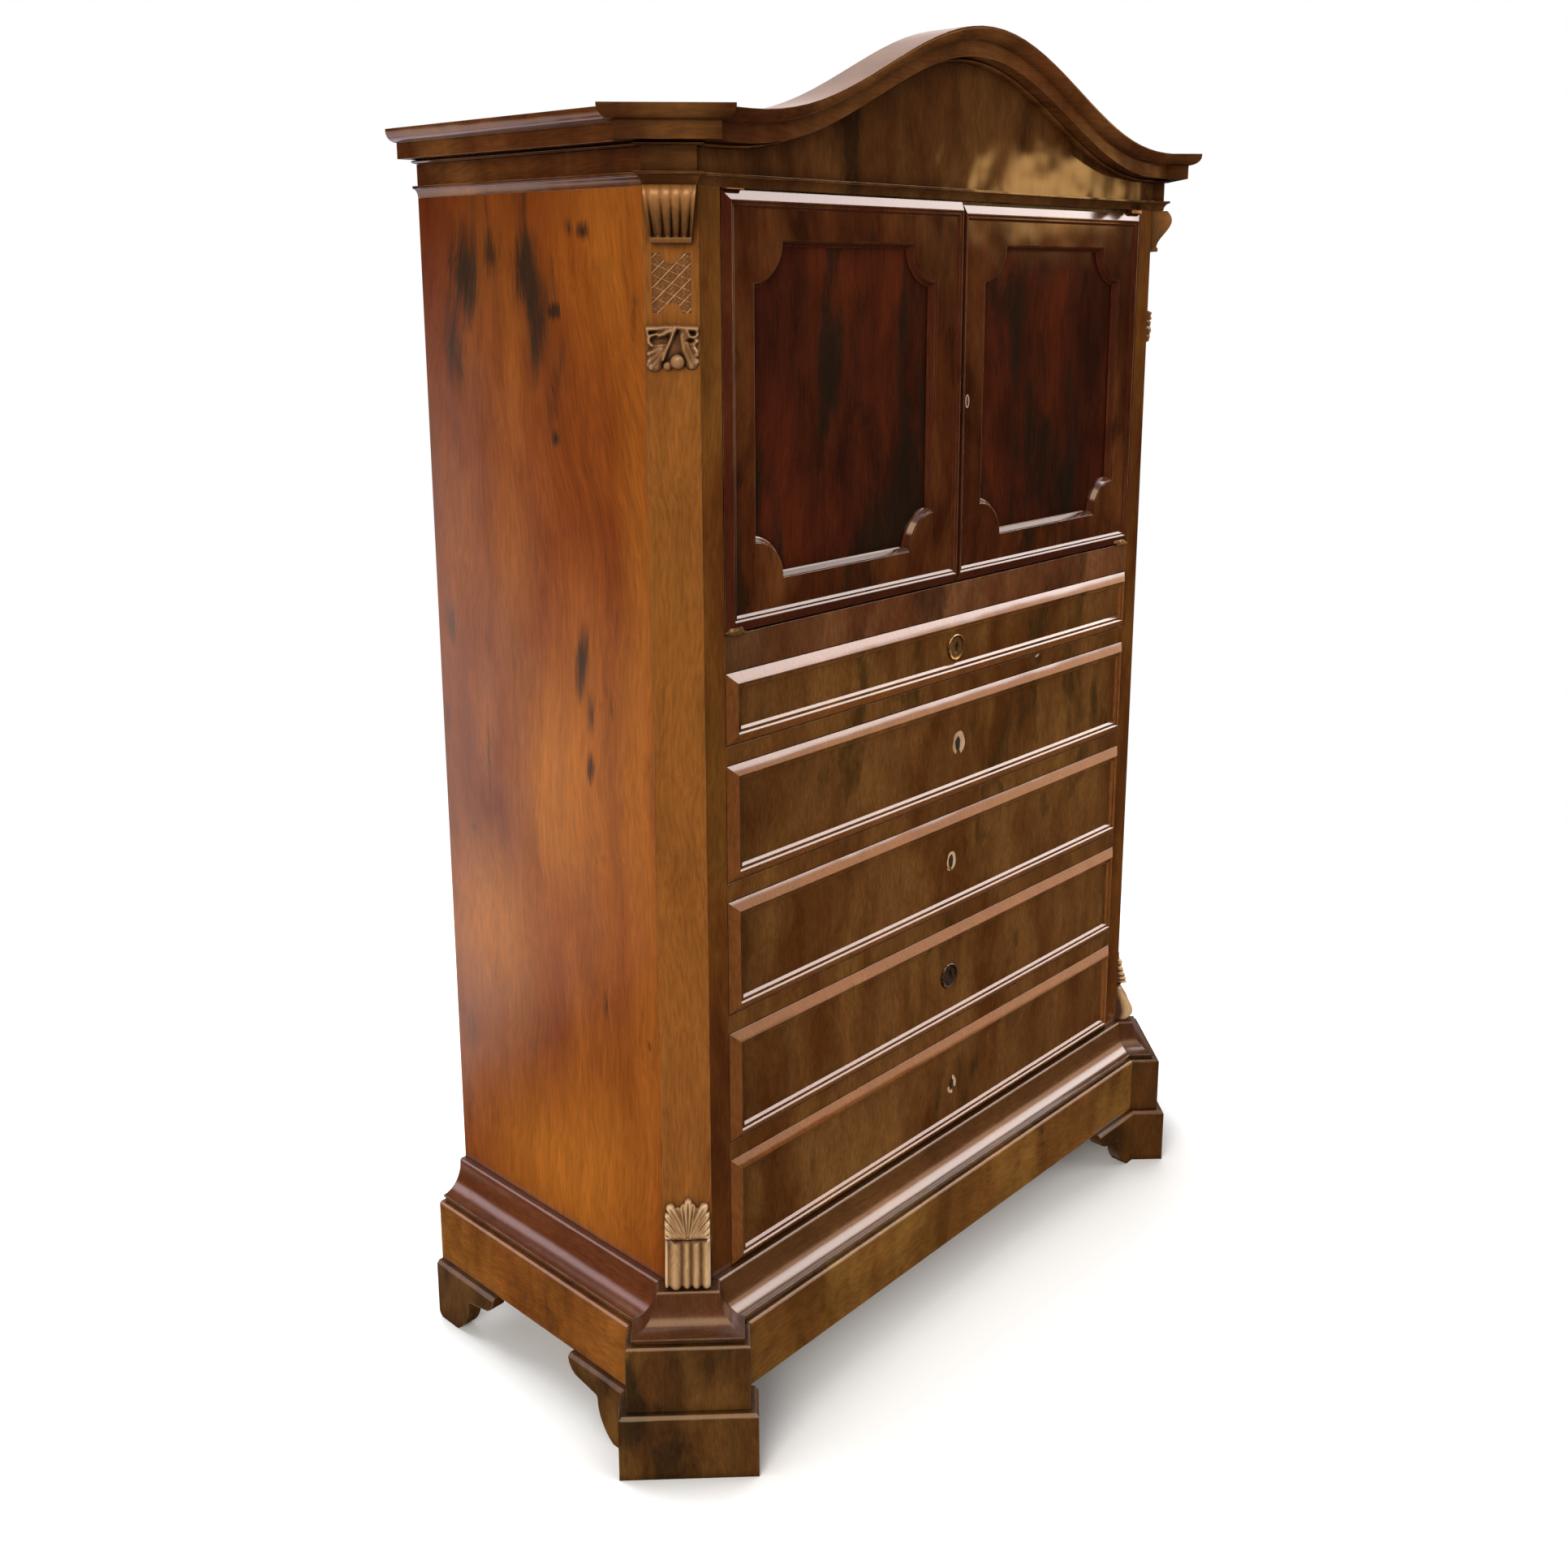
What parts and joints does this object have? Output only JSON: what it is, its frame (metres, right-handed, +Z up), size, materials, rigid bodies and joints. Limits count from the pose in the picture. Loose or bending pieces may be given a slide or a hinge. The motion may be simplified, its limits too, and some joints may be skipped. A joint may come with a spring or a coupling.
{
  "type": "chiffonier",
  "caption": "Tall veneered chiffonier: a cupboard with hinged doors over sliding drawers, carved canted corners, arched cornice, plinth on bracket feet",
  "frame": {"origin": "on the floor under the middle of the piece's box", "axes": "+X to the right as seen from the front, +Y to the back, +Z up; the front faces -Y"},
  "size_m": [1.2068, 0.5484, 1.7446],
  "materials": {
    "side_veneer": "polished walnut veneer",
    "front_veneer": "polished walnut veneer",
    "door_veneer": "polished dark veneer",
    "panel_veneer": "polished dark red veneer",
    "moulding_wood": "polished moulding",
    "plinth_veneer": "polished walnut veneer",
    "carved_wood": "matt gilt-brown carving",
    "inside_wood": "plain unpolished softwood",
    "brass": "worn brass",
    "dark_bronze": "dark tarnished metal"
  },
  "bodies": {
    "case": {"left_side_panel": "side_veneer", "right_side_panel": "side_veneer", "left_corner_post": "front_veneer", "right_corner_post": "front_veneer", "bottom_board": "inside_wood", "top_board": "inside_wood", "cupboard_floor": "inside_wood", "cupboard_shelf": "inside_wood", "cupboard_rail": "front_veneer", "dust_board_1": "front_veneer", "dust_board_2": "front_veneer", "dust_board_3": "front_veneer", "dust_board_4": "front_veneer", "back_panel": "inside_wood", "plinth_front": "plinth_veneer", "plinth_left": "plinth_veneer", "plinth_right": "plinth_veneer", "plinth_back": "inside_wood", "left_plinth_block": "plinth_veneer", "right_plinth_block": "plinth_veneer", "front_left_foot": "plinth_veneer", "front_right_foot": "plinth_veneer", "back_left_foot": "plinth_veneer", "back_right_foot": "plinth_veneer", "frieze_front": "front_veneer", "frieze_left": "side_veneer", "frieze_right": "side_veneer", "crown_front": "moulding_wood", "crown_left": "moulding_wood", "crown_right": "moulding_wood", "left_cornice_block": "moulding_wood", "right_cornice_block": "moulding_wood", "cornice_dust_board": "inside_wood", "left_corbel": "carved_wood", "right_corbel": "carved_wood", "left_leaf_carving": "carved_wood", "right_leaf_carving": "carved_wood", "left_foot_scroll": "carved_wood", "right_foot_scroll": "carved_wood"},
    "left_door": {"left_door_frame": "door_veneer", "left_door_panel": "panel_veneer", "left_door_upper_pivot": "brass", "left_door_lower_pivot": "brass"},
    "right_door": {"right_door_frame": "door_veneer", "right_door_panel": "panel_veneer", "right_door_upper_pivot": "brass", "right_door_lower_pivot": "brass", "right_door_lock": "dark_bronze"},
    "drawer_1": {"drawer_1_front": "front_veneer", "drawer_1_box": "inside_wood", "drawer_1_escutcheon": "brass"},
    "drawer_2": {"drawer_2_front": "front_veneer", "drawer_2_box": "inside_wood"},
    "drawer_3": {"drawer_3_front": "front_veneer", "drawer_3_box": "inside_wood"},
    "drawer_4": {"drawer_4_front": "front_veneer", "drawer_4_box": "inside_wood", "drawer_4_escutcheon": "dark_bronze"},
    "drawer_5": {"drawer_5_front": "front_veneer", "drawer_5_box": "inside_wood"}
  },
  "joints": [
    {"name": "left_door_turn", "type": "hinge", "parent": "case", "child": "left_door", "pos_m": [-0.4308, -0.18279, 1.2875], "axis": [0, 0, -1], "range_deg": [0, 105]},
    {"name": "right_door_turn", "type": "hinge", "parent": "case", "child": "right_door", "pos_m": [0.4308, -0.18279, 1.2875], "axis": [0, 0, 1], "range_deg": [0, 105]},
    {"name": "drawer_1_slide", "type": "slide", "parent": "case", "child": "drawer_1", "axis": [0, -1, 0], "range_m": [0, 0.3]},
    {"name": "drawer_2_slide", "type": "slide", "parent": "case", "child": "drawer_2", "axis": [0, -1, 0], "range_m": [0, 0.3]},
    {"name": "drawer_3_slide", "type": "slide", "parent": "case", "child": "drawer_3", "axis": [0, -1, 0], "range_m": [0, 0.3]},
    {"name": "drawer_4_slide", "type": "slide", "parent": "case", "child": "drawer_4", "axis": [0, -1, 0], "range_m": [0, 0.3]},
    {"name": "drawer_5_slide", "type": "slide", "parent": "case", "child": "drawer_5", "axis": [0, -1, 0], "range_m": [0, 0.3]}
  ]
}
